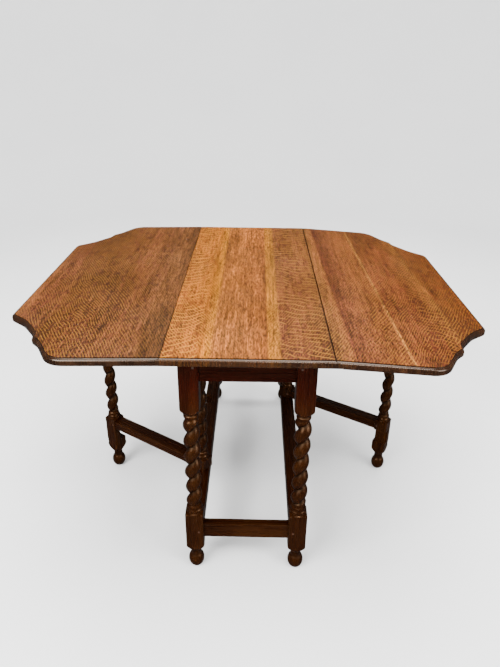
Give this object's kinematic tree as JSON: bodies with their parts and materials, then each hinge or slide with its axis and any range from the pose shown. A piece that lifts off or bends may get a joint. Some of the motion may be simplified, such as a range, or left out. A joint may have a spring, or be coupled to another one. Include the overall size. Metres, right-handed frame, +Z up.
{
  "type": "gateleg table",
  "caption": "Drop-leaf dining table with a shaped top, rule-jointed leaves, two swinging gates and barley-twist legs.",
  "frame": {"origin": "on the floor under the middle of the table, with both leaves up and both gates open", "axes": "+X across the leaves to the right leaf, +Y along the hinge lines to the back, +Z up"},
  "size_m": [1.2498, 1.08, 0.735],
  "materials": {
    "oak_top": "warm brown quarter-sawn oak, waxed satin",
    "oak_frame": "dark stained oak, polished",
    "oak_peg": "dark stained oak end grain",
    "oak_block": "raw oak, dull",
    "iron": "blackened iron, dull",
    "steel_screw": "aged steel"
  },
  "bodies": {
    "root": {"apron_back": "oak_frame", "apron_front": "oak_frame", "apron_left": "oak_frame", "apron_right": "oak_frame", "centre_board": "oak_top", "frame_pegs": "oak_peg", "glue_block_back": "oak_block", "glue_block_front": "oak_block", "glue_block_left_back": "oak_block", "glue_block_left_front": "oak_block", "glue_block_right_back": "oak_block", "glue_block_right_front": "oak_block", "hinge_left_0_pin": "iron", "hinge_left_0_table_plate": "iron", "hinge_left_1_pin": "iron", "hinge_left_1_table_plate": "iron", "hinge_left_2_pin": "iron", "hinge_left_2_table_plate": "iron", "hinge_right_0_pin": "iron", "hinge_right_0_table_plate": "iron", "hinge_right_1_pin": "iron", "hinge_right_1_table_plate": "iron", "hinge_right_2_pin": "iron", "hinge_right_2_table_plate": "iron", "hinge_table_screws": "steel_screw", "leg_back_left": "oak_frame", "leg_back_right": "oak_frame", "leg_front_left": "oak_frame", "leg_front_right": "oak_frame", "stretcher_back": "oak_frame", "stretcher_front": "oak_frame", "stretcher_left": "oak_frame", "stretcher_right": "oak_frame", "top_screws": "steel_screw"},
    "leaf_left": {"gate_stop_left": "oak_block", "hinge_left_0_leaf_plate": "iron", "hinge_left_1_leaf_plate": "iron", "hinge_left_2_leaf_plate": "iron", "leaf_left": "oak_top", "leaf_left_screws": "steel_screw"},
    "leaf_right": {"gate_stop_right": "oak_block", "hinge_right_0_leaf_plate": "iron", "hinge_right_1_leaf_plate": "iron", "hinge_right_2_leaf_plate": "iron", "leaf_right": "oak_top", "leaf_right_screws": "steel_screw"},
    "gate_left": {"gate_leg_left": "oak_frame", "gate_pegs_left": "oak_peg", "gate_post_left": "oak_frame", "gate_rail_left_lower": "oak_frame", "gate_rail_left_upper": "oak_frame"},
    "gate_right": {"gate_leg_right": "oak_frame", "gate_pegs_right": "oak_peg", "gate_post_right": "oak_frame", "gate_rail_right_lower": "oak_frame", "gate_rail_right_upper": "oak_frame"}
  },
  "joints": [
    {"name": "gate_left_swing", "type": "hinge", "parent": "root", "child": "gate_left", "pos_m": [-0.144, -0.215, 0.4], "axis": [0, 0, -1], "range_deg": [0, 57]},
    {"name": "gate_right_swing", "type": "hinge", "parent": "root", "child": "gate_right", "pos_m": [0.144, 0.215, 0.4], "axis": [0, 0, -1], "range_deg": [0, 57]},
    {"name": "leaf_left_hinge", "type": "hinge", "parent": "root", "child": "leaf_left", "pos_m": [-0.1985, 0, 0.715], "axis": [0, 1, 0], "range_deg": [0, 1]},
    {"name": "leaf_right_hinge", "type": "hinge", "parent": "root", "child": "leaf_right", "pos_m": [0.1985, 0, 0.715], "axis": [0, -1, 0], "range_deg": [0, 3.8]}
  ]
}
